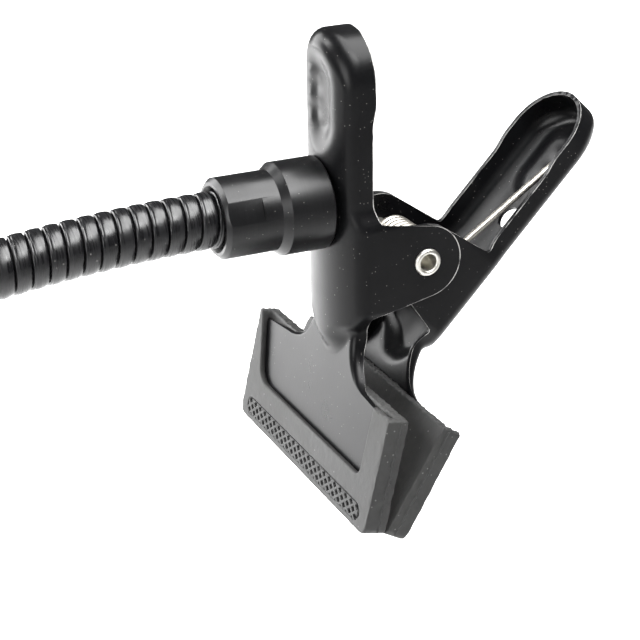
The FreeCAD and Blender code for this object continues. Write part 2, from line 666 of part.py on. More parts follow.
print("pivot", [round(value, 3) for value in PIVOT])
print("closed angle", round(math.degrees(2 * half_angle), 3))
print("arm axis height", round(arm_axis.z, 3), "mouth x", round(PIVOT.x - mouth_x, 3))
for start in starts[1:]:
    print("bend point", [round(value, 3) for value in on_arm(start).Base])
end_place = on_arm(size("arm_length"), mouth_x - crown_x)
print("arm end", [round(value, 3) for value in end_place.Base])
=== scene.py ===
"""A spring clamp with wide rubber jaws on a gooseneck arm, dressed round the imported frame.

The file follows the clamp as it is put together. Lengths are millimetres until a mesh is made.
"""
import bpy
import bmesh
import json
import math
from mathutils import Matrix, Vector, noise


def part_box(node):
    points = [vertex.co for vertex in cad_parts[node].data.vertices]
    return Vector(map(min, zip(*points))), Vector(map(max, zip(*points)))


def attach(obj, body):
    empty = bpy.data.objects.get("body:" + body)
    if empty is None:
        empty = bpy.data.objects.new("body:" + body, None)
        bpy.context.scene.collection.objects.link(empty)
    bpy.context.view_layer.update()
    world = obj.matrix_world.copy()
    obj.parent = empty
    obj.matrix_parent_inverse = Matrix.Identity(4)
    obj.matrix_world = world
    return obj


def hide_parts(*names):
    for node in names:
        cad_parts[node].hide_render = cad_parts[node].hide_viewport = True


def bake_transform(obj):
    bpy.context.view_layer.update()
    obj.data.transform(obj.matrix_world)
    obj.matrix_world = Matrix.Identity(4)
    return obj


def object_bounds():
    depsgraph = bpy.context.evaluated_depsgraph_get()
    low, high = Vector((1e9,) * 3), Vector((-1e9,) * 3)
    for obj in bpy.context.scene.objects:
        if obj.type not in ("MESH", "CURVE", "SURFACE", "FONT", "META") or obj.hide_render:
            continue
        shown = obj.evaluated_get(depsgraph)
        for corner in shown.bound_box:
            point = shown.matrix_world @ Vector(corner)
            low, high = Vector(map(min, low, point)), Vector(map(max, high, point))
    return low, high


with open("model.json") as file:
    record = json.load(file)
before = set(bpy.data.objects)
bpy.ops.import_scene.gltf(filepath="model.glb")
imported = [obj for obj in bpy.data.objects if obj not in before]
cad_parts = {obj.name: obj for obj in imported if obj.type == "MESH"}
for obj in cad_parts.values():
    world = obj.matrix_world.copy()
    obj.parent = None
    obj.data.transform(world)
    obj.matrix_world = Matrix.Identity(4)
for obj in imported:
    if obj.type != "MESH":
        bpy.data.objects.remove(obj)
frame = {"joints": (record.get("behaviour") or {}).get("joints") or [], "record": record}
cad_low, cad_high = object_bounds()

# ---------------------------------------------------------------- camera
# A long lens looks down on the clamp from the arm's side. It has no shift, so that the same
# camera serves from any other side.
camera_spot = Vector((-187.87, -415.44, 245.97))
camera_turn, camera_dip = math.radians(24.501), math.radians(23.415)
camera_roll = math.radians(-1.011)
camera_lens = 97.03

ahead = Vector((math.sin(camera_turn) * math.cos(camera_dip),
                math.cos(camera_turn) * math.cos(camera_dip), -math.sin(camera_dip)))
aside = Vector((math.cos(camera_turn), -math.sin(camera_turn), 0))
above = aside.cross(ahead)
aside_rolled = aside * math.cos(camera_roll) + above * math.sin(camera_roll)
above_rolled = above * math.cos(camera_roll) - aside * math.sin(camera_roll)
camera = bpy.data.objects.new("camera", bpy.data.cameras.new("camera"))
bpy.context.scene.collection.objects.link(camera)
camera.matrix_world = Matrix.Translation(camera_spot / 1000) @ Matrix(
    (aside_rolled, above_rolled, -ahead)).transposed().to_4x4()
camera.data.lens = camera_lens
camera.data.sensor_width = 36.0
camera.data.clip_start, camera.data.clip_end = 0.02, 50.0
bpy.context.scene.camera = camera

# ---------------------------------------------------------------- floor and light
# A pale table far under the clamp, which its arm holds in the air. Two wide soft boxes whiten
# the table behind and before the clamp, and smaller ones round it are what its gloss shows.
floor_drop = 0.45
floor_reach = 14.0
bpy.context.scene.view_settings.view_transform = "Standard"


def node_material(name):
    """A new material with its nodes, its links and its shader."""
    material = bpy.data.materials.new(name)
    material.use_nodes = True
    return material, material.node_tree.nodes, material.node_tree.links


def fine_noise(nodes, links, scale, detail=3.0, stretch=None):
    """A noise in the piece's own coordinates, stretched where a finish runs one way."""
    place = nodes.new("ShaderNodeTexCoord")
    grain = nodes.new("ShaderNodeTexNoise")
    grain.inputs["Scale"].default_value = scale
    grain.inputs["Detail"].default_value = detail
    if stretch:
        mapping = nodes.new("ShaderNodeMapping")
        mapping.inputs["Scale"].default_value = stretch
        links.new(place.outputs["Object"], mapping.inputs["Vector"])
        links.new(mapping.outputs["Vector"], grain.inputs["Vector"])
    else:
        links.new(place.outputs["Object"], grain.inputs["Vector"])
    return grain


def ramp(nodes, links, source, stops):
    """A colour ramp fed by a value: each stop is a place and a grey or a colour."""
    band = nodes.new("ShaderNodeValToRGB")
    while len(band.color_ramp.elements) < len(stops):
        band.color_ramp.elements.new(0.5)
    for element, (spot, tone) in zip(band.color_ramp.elements, stops):
        element.position = spot
        element.color = (tone, tone, tone, 1) if isinstance(tone, float) else (*tone, 1)
    links.new(source, band.inputs["Fac"])
    return band.outputs["Color"]


def relief(nodes, links, height, depth, strength=1.0):
    """A bump of a depth in metres, put on the shader."""
    bump = nodes.new("ShaderNodeBump")
    bump.inputs["Distance"].default_value = depth
    bump.inputs["Strength"].default_value = strength
    links.new(height, bump.inputs["Height"])
    links.new(bump.outputs["Normal"], nodes["Principled BSDF"].inputs["Normal"])
    return bump


def pale_table():
    """A white laminate, a little uneven in its sheen."""
    material, nodes, links = node_material("pale_table")
    shader = nodes["Principled BSDF"]
    shader.inputs["Roughness"].default_value = 0.9
    shader.inputs["Specular IOR Level"].default_value = 0.1
    grain = fine_noise(nodes, links, 3.0)
    links.new(ramp(nodes, links, grain.outputs["Fac"], [(0.3, 0.90), (0.7, 0.93)]),
              shader.inputs["Base Color"])
    return material


table_mesh = bpy.data.meshes.new("table")
table_height = cad_low.z - floor_drop
table_mesh.from_pydata([(x, y, table_height) for x, y in (
    (-floor_reach, -floor_reach), (floor_reach, -floor_reach),
    (floor_reach, floor_reach), (-floor_reach, floor_reach))], [], [(0, 1, 2, 3)])
table = bpy.data.objects.new("table", table_mesh)
bpy.context.scene.collection.objects.link(table)
table_mesh.materials.append(pale_table())

room = bpy.data.worlds.new("room")
bpy.context.scene.world = room
room.use_nodes = True
room.node_tree.nodes["Background"].inputs["Color"].default_value = (1.0, 1.0, 1.0, 1)
room.node_tree.nodes["Background"].inputs["Strength"].default_value = 0.10

middle = (cad_low + cad_high) / 2


def soft_box(name, offset, wide, high, watts, look=(0, 0, 0), shows=True):
    """A light at an offset in metres from the middle of the clamp, turned to another offset.
    One that lights only the table doesn't show in what is glossy."""
    data = bpy.data.lights.new(name, "AREA")
    data.shape = "RECTANGLE"
    data.size, data.size_y, data.energy = wide, high, watts
    light = bpy.data.objects.new(name, data)
    light.location = middle + Vector(offset)
    light.rotation_mode = "QUATERNION"
    light.rotation_quaternion = (Vector(look) - Vector(offset)).to_track_quat("-Z", "Y")
    light.visible_camera = False
    light.visible_glossy = shows
    bpy.context.scene.collection.objects.link(light)


soft_box("box_behind", (0.05, 1.65, 0.40), 4.8, 2.6, 150, (0.05, 1.65, -0.5), False)
soft_box("box_room", (-0.8, -5.2, 1.2), 8.0, 4.4, 150, (-0.8, -5.2, 0), False)
soft_box("box_overhead", (0.20, -0.10, 0.50), 0.50, 0.42, 6.5)
soft_box("box_left", (-0.70, 1.28, 0.30), 0.85, 1.35, 29)
soft_box("box_left_front", (-1.00, -0.55, 0.28), 0.55, 0.55, 6.0)
soft_box("box_left_top", (-0.75, 0.42, 0.72), 0.42, 0.48, 10.0)
soft_box("box_front", (0.10, -0.75, 1.00), 0.6, 0.4, 7)

# ---------------------------------------------------------------- the two levers
# Each lever is one blank of 1.2 mm steel, pressed to a channel with ears, a crowned back, a
# ribbed finger recess and a flat jaw plate, then stove enamelled black. The arrises of the cut
# edge are painted bright steel in a thin patchy strip: worn enamel and a painted edge highlight.
gauge = 1.2
handle_top, handle_half = 65.9, 14.5
shoulder = handle_top - handle_half
outer_ear_half, inner_ear_half = 16.95, 15.5
ear_tip, ear_high, ear_low = 10.66, 11.06, -12.66
ear_flare = 7.0
neck_half, sweep_radius, sweep_height = 13.3, 13.5, -19.66
plate_half, plate_corner, plate_side_top, plate_foot = 41.5, 3.0, -34.66, -60.37
crown_back, crown_radius = -25.9, 28.28
lean = math.radians(13.36)
plate_lip = (-24.18, -32.15)
recess_half, recess_low, recess_high, recess_floor = 9.6, 41.6, 51.1, -23.7
ridge_pitch, ridge_middle, ridge_rise = 6.8, 46.3, 0.55
flange_edge, flange_deeper = -15.6, 1.0
rib_start, rib_fade = -14.0, 15.5
neck_edge, sill_top, sill_depth = -17.2, -31.5, 2.7
# The arris width is that of the thin strip on the cut edge painted bright steel, as wear and a
# painted highlight.
bend_radius, end_rounding, arris_highlight_width = 2.3, 2.4, 0.26
pin_hole, bolt_hole, bolt_height, spare_hole, spare_height = 3.2, 3.6, 16.9, 3.5, 26.5

record_joints = {joint["name"]: joint for joint in frame["joints"]}
record_mounts = {mount["name"]: mount for mount in frame["record"]["mounts"]}
pivot = Vector(record_joints["jaw_pivot"]["pos_m"]) * 1000
hole_axis = record_mounts["handle_hole"]["axis"]
opening_angle = math.atan2(-hole_axis[2], hole_axis[0])
OUTER_PLACE = Matrix.Translation(pivot)
INNER_PLACE = (OUTER_PLACE @ Matrix.Rotation(opening_angle, 4, "Y")
               @ Matrix.Rotation(math.pi, 4, "Z"))


def ease(low, high, value):
    """0 below low and 1 above high, smooth between."""
    share = min(1.0, max(0.0, (value - low) / (high - low)))
    return share * share * (3 - 2 * share)


def plate_back(z):
    """Where the jaw plate's outer face lies, carried on up or down its slope."""
    return plate_lip[0] + math.tan(lean) * (z - plate_lip[1])


def half_width(z, ear_half):
    """Half the blank's width at a height, after pressing."""
    if z > sweep_height:
        upper = ear_half + (handle_half - ear_half) * ease(ear_high, ear_high + ear_flare, z)
        return neck_half + (upper - neck_half) * ease(sweep_height, ear_low, z)
    if z > sweep_height - sweep_radius:
        drop = sweep_height - z
        return neck_half + sweep_radius - math.sqrt(max(0.0, sweep_radius ** 2 - drop ** 2))
    if z > plate_side_top:
        inside = neck_half + sweep_radius
        share = (sweep_height - sweep_radius - z) / (sweep_height - sweep_radius - plate_side_top)
        return inside + (plate_half - inside) * share
    cut = max(0.0, plate_foot + plate_corner - z)
    return plate_half - plate_corner + math.sqrt(max(0.0, plate_corner ** 2 - cut ** 2))


def web_back(y, z):
    """The pressed back of a lever: crown, finger recess with ridges, rib and jaw plate."""
    wide = min(abs(y), 20.0)
    crown = crown_back + crown_radius - math.sqrt(crown_radius ** 2 - wide ** 2)
    reach = math.hypot(y, z - min(max(z, recess_low), recess_high)) - recess_half
    sunk = 1 - ease(-7.0, 0.9, reach)
    back = crown + (recess_floor - crown) * sunk
    if sunk > 0:
        wave = 0.5 + 0.5 * math.cos(2 * math.pi * (z - ridge_middle) / ridge_pitch)
        inside = ease(-1.55 * ridge_pitch, -1.2 * ridge_pitch, -abs(z - ridge_middle))
        back -= ridge_rise * wave * inside * ease(-2.0, 6.5, y) * min(1.0, 1.6 * sunk)
    plane = plate_back(z)
    down = max(0.0, rib_start - z)
    rib = 1 - ease(0.25, 1.0, (y / 12.5) ** 2 * ease(0.0, 9.0, down) + (down / rib_fade) ** 2)
    return plane + (min(back, plane) - plane) * rib if z < ear_low else back


def edge_line(brow_x):
    """The flange's free edge against the height of the web beside it: x, z and web height."""
    line = []
    straight_end, gap, ear_web, brow_web = 22.0, 0.55, 8.5, 14.5
    steps = int((shoulder - straight_end) / gap)
    for index in range(steps):
        z = shoulder - (shoulder - straight_end) * index / steps
        line.append((flange_edge + flange_deeper * ease(40.0, 47.0, z), z, z))
    slope, fall = math.radians(9.23), math.radians(12.0)
    high = (ear_tip * math.sin(slope), ear_tip * math.cos(slope))
    low = (ear_tip * math.sin(fall), -ear_tip * math.cos(fall))
    brow = (brow_x, high[1] + (high[0] - brow_x) * math.tan(slope))
    chin = (neck_edge, low[1] + (neck_edge - low[0]) * math.tan(fall))
    corners = [(flange_edge, straight_end, straight_end),
               (flange_edge, brow[1] + 5.0, brow[1] + 5.0), (*brow, brow_web), (*high, ear_web)]
    tail = [(*low, -ear_web), (*chin, chin[1]), (neck_edge, -21.5, -21.5),
            (-19.4, -27.0, -27.0), (-21.2, sill_top, sill_top)]

    def between(points, gap):
        for first, second in zip(points, points[1:]):
            count = max(2, int(math.dist(first[:2], second[:2]) / gap))
            for index in range(count):
                share = index / count
                line.append(tuple(a + (b - a) * share for a, b in zip(first, second)))

    between(corners, gap)
    turns = 60
    for index in range(turns + 1):
        angle = slope + (math.pi - fall - slope) * index / turns
        line.append((ear_tip * math.sin(angle), ear_tip * math.cos(angle),
                     ear_web * (1 - 2 * index / turns)))
    between(tail, 0.5)
    for _ in range(4):
        inner = [tuple((a + 2 * b + c) / 4 for a, b, c in zip(*three))
                 for three in zip(line, line[1:], line[2:])]
        line = [line[0]] + inner + [line[-1]]
    sill_rows, plate_rows = 26, 40
    for index in range(sill_rows + 1):
        z = sill_top + (plate_side_top - sill_top) * index / sill_rows
        line.append((plate_back(z) + sill_depth * (1 - index / sill_rows), z, z))
    for index in range(1, plate_rows + 1):
        z = plate_side_top + (plate_foot - plate_side_top) * index / plate_rows
        line.append((plate_back(z), z, z))
    return line


def worked_mesh(name, mesh):
    """A mesh that was worked on, as plain mesh data."""
    data = bpy.data.meshes.new(name)
    mesh.to_mesh(data)
    mesh.free()
    return data


def as_piece(name, mesh):
    """A mesh that was worked on, as an object in the scene."""
    piece = bpy.data.objects.new(name, worked_mesh(name, mesh))
    bpy.context.scene.collection.objects.link(piece)
    return piece


def lever_skin(name, ear_half, brow_x):
    """The outer skin of a lever as a mesh: rows run from the free edge over the bend to the
    middle, round the handle's end like spokes and down both sides."""
    spokes, wall_steps, bend_steps, web_steps = 44, 12, 7, 24
    rows = []
    for index in range(spokes):
        angle = math.pi / 2 * index / spokes
        rim = (handle_half * math.sin(angle), shoulder + handle_half * math.cos(angle))
        rows.append((rim, (0.0, shoulder), flange_edge + flange_deeper, None))
    for x, z, web in edge_line(brow_x):
        rows.append(((half_width(web, ear_half), web), (0.0, web), x, z))
    mesh = bmesh.new()
    for side in (1, -1):
        grid = []
        for rim, centre, edge_x, edge_z in rows:
            inward = Vector((centre[0] - rim[0], centre[1] - rim[1]))
            full = inward.length
            inward.normalize()
            deep = edge_x - web_back(rim[0] * side, rim[1])
            flat = deep < 0.05
            bend = bend_radius + end_rounding * ease(shoulder - 2.0, handle_top - 3.0, rim[1])
            bend = 0.0 if flat else min(bend, deep * 0.85, full * 0.4)
            foot = Vector(rim) + inward * bend
            corner_x = web_back(rim[0] * side, rim[1]) + bend
            edge_x = corner_x if flat else edge_x
            row = []
            arris = min(arris_highlight_width / max(abs(edge_x - corner_x), arris_highlight_width), 1 / wall_steps)
            for step in range(wall_steps):
                share = 1 - (arris if step == 1 else step / wall_steps)
                z = rim[1] if edge_z is None else rim[1] + (edge_z - rim[1]) * share
                y = rim[0] if edge_z is None or rim[1] < sweep_height else half_width(z, ear_half)
                row.append((corner_x + (edge_x - corner_x) * share, y * side, z))
            for step in range(bend_steps):
                angle = math.pi / 2 * step / bend_steps
                away = bend * (1 - math.cos(angle))
                spot = Vector(rim) + inward * away
                x = web_back(spot[0] * side, spot[1]) + bend * (1 - math.sin(angle))
                row.append((x, spot[0] * side, spot[1]))
            for step in range(web_steps + 1):
                spot = foot.lerp(Vector(centre), step / web_steps)
                row.append((web_back(spot[0] * side, spot[1]), spot[0] * side, spot[1]))
            grid.append([mesh.verts.new(point) for point in row])
        for first, second in zip(grid, grid[1:]):
            for step, (a, b, c, d) in enumerate(zip(first, first[1:], second[1:], second)):
                face = mesh.faces.new((a, b, c, d) if side > 0 else (d, c, b, a))
                # The strip by the free edge is painted bright steel: a painted edge highlight with
                # worn enamel.
                face.material_index = 1 if step == 0 else 0
    bmesh.ops.remove_doubles(mesh, verts=mesh.verts, dist=0.02)
    bmesh.ops.dissolve_degenerate(mesh, edges=mesh.edges, dist=0.01)
    bmesh.ops.recalc_face_normals(mesh, faces=mesh.faces)
    back = [face for face in mesh.faces if abs(face.calc_center_median().y) < 5
            and abs(face.calc_center_median().z) < 5]
    if back and sum(face.normal.x for face in back) > 0:
        bmesh.ops.reverse_faces(mesh, faces=mesh.faces)
    return as_piece(name, mesh)


def bake_shape(piece, sharp_degrees=35.0):
    """Applies a piece's modifiers and shades it smooth but for its true edges."""
    shaped = bpy.data.meshes.new_from_object(
        piece.evaluated_get(bpy.context.evaluated_depsgraph_get()))
    piece.modifiers.clear()
    old, piece.data = piece.data, shaped
    bpy.data.meshes.remove(old)
    shaped.polygons.foreach_set("use_smooth", [True] * len(shaped.polygons))
    shaped.set_sharp_from_angle(angle=math.radians(sharp_degrees))
    return piece


def settle(piece, place):
    """Puts a mesh drawn in millimetres where it belongs, in metres."""
    piece.data.transform(Matrix.Scale(0.001, 4) @ place)
    return piece


def cut_with(piece, tool):
    """Takes the shape of a tool out of a piece."""
    cut = piece.modifiers.new("cut", "BOOLEAN")
    cut.operation, cut.solver, cut.object = "DIFFERENCE", "EXACT", tool
    return tool


def drill(piece, radius, start, direction, length):
    """A round hole, whose cutter is removed once the piece is baked."""
    cutter = bmesh.new()
    bmesh.ops.create_cone(cutter, cap_ends=True, segments=72, radius1=radius, radius2=radius,
                          depth=length)
    turn = Vector(direction).to_track_quat("Z", "Y").to_matrix().to_4x4()
    bmesh.ops.transform(cutter, matrix=Matrix.Translation(Vector(start)) @ turn, verts=cutter.verts)
    return cut_with(piece, as_piece("drill", cutter))


def soften(piece, width, segments=2, degrees=40.0):
    """A small rounding of every true edge."""
    round_off = piece.modifiers.new("rounding", "BEVEL")
    round_off.width, round_off.segments = width, segments
    round_off.limit_method, round_off.angle_limit = "ANGLE", math.radians(degrees)
    round_off.use_clamp_overlap = True


def specks(nodes, links, scale, rare):
    """Scattered dust: a mask of small soft dots, of which few are kept."""
    place = nodes.new("ShaderNodeTexCoord")
    cells = nodes.new("ShaderNodeTexVoronoi")
    cells.inputs["Scale"].default_value = scale
    links.new(place.outputs["Object"], cells.inputs["Vector"])
    dots = ramp(nodes, links, cells.outputs["Distance"], [(0.06, 1.0), (0.16, 0.0)])
    chosen = ramp(nodes, links, cells.outputs["Color"], [(rare, 0.0), (rare + 0.02, 1.0)])
    both = nodes.new("ShaderNodeMath")
    both.operation = "MULTIPLY"
    links.new(dots, both.inputs[0])
    links.new(chosen, both.inputs[1])
    return both.outputs["Value"]


def mixed(nodes, links, share, first, second):
    """A colour between two, by a mask; each is a colour or a socket."""
    mix = nodes.new("ShaderNodeMix")
    mix.data_type = "RGBA"
    links.new(share, mix.inputs["Factor"])
    for name, tone in (("A", first), ("B", second)):
        socket = [s for s in mix.inputs if s.name == name and s.type == "RGBA"][0]
        if isinstance(tone, tuple):
            socket.default_value = (*tone, 1)
        else:
            links.new(tone, socket)
    return [s for s in mix.outputs if s.type == "RGBA"][0]


def stove_enamel():
    """Black stove enamel: a smooth coat with a faint orange peel and a few grains of dust."""
    material, nodes, links = node_material("stove_enamel")
    shader = nodes["Principled BSDF"]
    shader.inputs["Specular IOR Level"].default_value = 0.21
    cloud = fine_noise(nodes, links, 60.0, 4.0)
    links.new(ramp(nodes, links, cloud.outputs["Fac"], [(0.3, 0.27), (0.7, 0.36)]),
              shader.inputs["Roughness"])
    tint = ramp(nodes, links, cloud.outputs["Fac"],
                [(0.3, (0.0026, 0.0026, 0.0030)), (0.7, (0.0046, 0.0046, 0.0052))])
    dust = specks(nodes, links, 900.0, 0.72)
    links.new(mixed(nodes, links, dust, tint, (0.16, 0.155, 0.145)), shader.inputs["Base Color"])
    peel = fine_noise(nodes, links, 900.0, 2.0)
    relief(nodes, links, peel.outputs["Fac"], 0.00002, 0.5)
    return material


def worn_edge_and_highlight():
    """The arris of the cut edge, painted patchy bright steel: worn enamel and a painted highlight
    along the edge.
    """
    material, nodes, links = node_material("worn_edge_and_highlight")
    shader = nodes["Principled BSDF"]
    wear_and_highlight = fine_noise(nodes, links, 260.0, 4.0)
    mask = ramp(nodes, links, wear_and_highlight.outputs["Fac"], [(0.38, 0.0), (0.55, 1.0)])
    links.new(mixed(nodes, links, mask, (0.05, 0.05, 0.052), (0.50, 0.495, 0.48)),
              shader.inputs["Base Color"])
    links.new(ramp(nodes, links, wear_and_highlight.outputs["Fac"], [(0.38, 0.45), (0.55, 0.35)]),
              shader.inputs["Roughness"])
    shader.inputs["Metallic"].default_value = 0.2
    relief(nodes, links, wear_and_highlight.outputs["Fac"], 0.00003, 0.6)
    return material


# The second lever material paints a bright highlight on the cut edge's arrises, patchy like worn
# enamel.
enamel, edge_wear_and_highlight = stove_enamel(), worn_edge_and_highlight()
for lever, ear_half, brow_x, place, body in (
        ("outer_lever", outer_ear_half, -14.1, OUTER_PLACE, "outer_half"),
        ("inner_lever", inner_ear_half, -16.3, INNER_PLACE, "inner_half")):
    piece = lever_skin(lever + "_pressing", ear_half, brow_x)
    piece.data.materials.append(enamel)
    piece.data.materials.append(edge_wear_and_highlight)
    sheet = piece.modifiers.new("gauge", "SOLIDIFY")
    sheet.thickness, sheet.offset, sheet.use_even_offset = gauge, -1.0, False
    sheet.use_quality_normals = True
    sheet.material_offset_rim = -1
    hole, height = ((bolt_hole, bolt_height) if lever == "outer_lever"
                    else (spare_hole, spare_height))
    tools = [drill(piece, pin_hole, (0, 0, 0), (0, 1, 0), 60.0),
             drill(piece, hole, (-24.0, 0, height), (1, 0, 0), 12.0)]
    soften(piece, 0.16, 2, 50.0)
    bake_shape(piece)
    for tool in tools:
        bpy.data.objects.remove(tool)
    settle(piece, place)
    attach(piece, body)
    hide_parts(lever)

# ---------------------------------------------------------------- rubber jaw boots
# A boot is one moulded sleeve of black rubber, pulled up over the jaw plate. Its outer face
# has a window on the plate, and a knurled strip runs along its foot. Flash from the mould's
# parting line stands on its ends.
boot_top = (-25.93, -31.73)
boot_end, boot_flash, boot_height, boot_thick, boot_tip_thick = 44.35, 0.45, 35.1, 6.35, 6.85
boot_face, slot_depth = 1.8, 29.0
window_near, window_top, window_foot, window_depth = 34.5, 42.4, 35.2, 21.0
knurl_top, knurl_foot, knurl_far, knurl_near = -28.2, -33.2, 40.0, -39.0
knurl_pitch, knurl_row, knurl_proud, knurl_pit = 3.6, 2.9, -0.25, 0.75
knurl_border, knurl_lip = 0.35, 0.25
flash_depth, flash_half, flash_root = 4.1, 0.40, 0.05
BOOT_PLACE = Matrix.Translation((boot_top[0], 0, boot_top[1])) @ Matrix.Rotation(lean, 4, "Y")


def rounded(corners, steps=5):
    """A closed outline with its corners rounded: each is across, up and radius."""
    line = []
    count = len(corners)
    for index, (across, up, radius) in enumerate(corners):
        here = Vector((across, up))
        if radius == 0:
            line.append(here)
            continue
        back = (Vector(corners[index - 1][:2]) - here).normalized() * radius
        on = (Vector(corners[(index + 1) % count][:2]) - here).normalized() * radius
        for step in range(steps + 1):
            share = step / steps
            line.append(here + back * (1 - share) ** 2 + on * share ** 2)
    return line


def slab(name, line, low, high):
    """An outline across Y and up Z, drawn from one depth in X to another; a depth may depend
    on the height."""
    mesh = bmesh.new()
    faces = []
    for depth in (low, high):
        ring = []
        for spot in line:
            x = depth(spot[1]) if callable(depth) else depth
            ring.append(mesh.verts.new((x, spot[0], spot[1])))
        faces.append(ring)
    mesh.faces.new(list(reversed(faces[0])))
    mesh.faces.new(faces[1])
    count = len(line)
    for index in range(count):
        after = (index + 1) % count
        mesh.faces.new((faces[0][index], faces[0][after], faces[1][after], faces[1][index]))
    bmesh.ops.recalc_face_normals(mesh, faces=mesh.faces)
    return as_piece(name, mesh)


def knurled_strip():
    """A strip of crossing ribs with pits between, as a slab let into the boot's face."""
    mesh = bmesh.new()
    middle_up, half_up = (knurl_top + knurl_foot) / 2, (knurl_top - knurl_foot) / 2
    middle_across, half_across = (knurl_far + knurl_near) / 2, (knurl_far - knurl_near) / 2
    columns, rows = 560, 30
    grid = []
    for row in range(rows + 1):
        up = middle_up + half_up * (2 * row / rows - 1)
        ends = half_across - half_up + math.sqrt(max(0.0, half_up ** 2 - (up - middle_up) ** 2))
        line = []
        for column in range(columns + 1):
            across = middle_across + ends * (2 * column / columns - 1)
            first = abs(math.sin(math.pi * (across / knurl_pitch + up / knurl_row)))
            second = abs(math.sin(math.pi * (across / knurl_pitch - up / knurl_row)))
            pit = ease(0.52, 0.88, min(first, second))
            border = min((half_up - abs(up - middle_up)) / knurl_border,
                         (ends - abs(across - middle_across)) / knurl_border, 1.0)
            depth = (knurl_proud + (knurl_pit - knurl_proud) * pit * border
                     + knurl_lip * (1 - border))
            line.append(mesh.verts.new((depth, across, up)))
        grid.append(line)
    under = [[mesh.verts.new((knurl_pit + 0.4, vert.co.y, vert.co.z))
              for vert in (line[0], line[-1])] for line in grid]
    for low_line, high_line in zip(grid, grid[1:]):
        for a, b, c, d in zip(low_line, low_line[1:], high_line[1:], high_line):
            mesh.faces.new((a, b, c, d))
    for index in range(rows):
        mesh.faces.new((grid[index][0], under[index][0], under[index + 1][0], grid[index + 1][0]))
        mesh.faces.new((grid[index][-1], grid[index + 1][-1], under[index + 1][1], under[index][1]))
        mesh.faces.new((under[index][0], under[index][1], under[index + 1][1], under[index + 1][0]))
    mesh.faces.new([under[0][1], under[0][0]] + grid[0])
    mesh.faces.new([under[-1][0], under[-1][1]] + list(reversed(grid[-1])))
    bmesh.ops.recalc_face_normals(mesh, faces=mesh.faces)
    return worked_mesh("knurls", mesh)


def flash_line():
    """The thin, uneven seam of flash on both ends of a boot, low enough to stay on the rubber."""
    mesh = bmesh.new()
    for side in (1, -1):
        rings = []
        steps = 90
        for index in range(steps + 1):
            up = -0.8 - (boot_height - 2.0) * index / steps
            stand = 0.16 + 0.10 * math.sin(index * 0.9) * math.sin(index * 0.37 + side)
            stand += 0.24 * math.exp(-((index - 52 - 6 * side) / 2.5) ** 2)
            depth = flash_depth + 0.16 * math.sin(index * 0.31) + 0.08 * math.sin(index * 1.3)
            root, ridge = boot_end - flash_root, boot_end + min(stand, boot_flash)
            rings.append([mesh.verts.new(spot) for spot in (
                (depth - flash_half, side * root, up), (depth, side * ridge, up),
                (depth + flash_half, side * root, up))])
        for first, second in zip(rings, rings[1:]):
            for index in range(3):
                after = (index + 1) % 3
                mesh.faces.new((first[index], first[after], second[after], second[index]))
        mesh.faces.new(rings[0])
        mesh.faces.new(rings[-1])
    bmesh.ops.recalc_face_normals(mesh, faces=mesh.faces)
    return worked_mesh("flash", mesh)


def moulded_rubber():
    """Matt black rubber with a fine mould grain, a grey bloom and a little dust."""
    material, nodes, links = node_material("moulded_rubber")
    shader = nodes["Principled BSDF"]
    shader.inputs["Specular IOR Level"].default_value = 0.42
    bloom = fine_noise(nodes, links, 45.0, 5.0)
    tint = ramp(nodes, links, bloom.outputs["Fac"],
                [(0.3, (0.026, 0.026, 0.026)), (0.7, (0.040, 0.040, 0.039))])
    dust = specks(nodes, links, 520.0, 0.72)
    links.new(mixed(nodes, links, dust, tint, (0.15, 0.15, 0.145)), shader.inputs["Base Color"])
    links.new(ramp(nodes, links, bloom.outputs["Fac"], [(0.3, 0.52), (0.7, 0.66)]),
              shader.inputs["Roughness"])
    grain = fine_noise(nodes, links, 1400.0, 3.0)
    relief(nodes, links, grain.outputs["Fac"], 0.00006, 0.6)
    return material


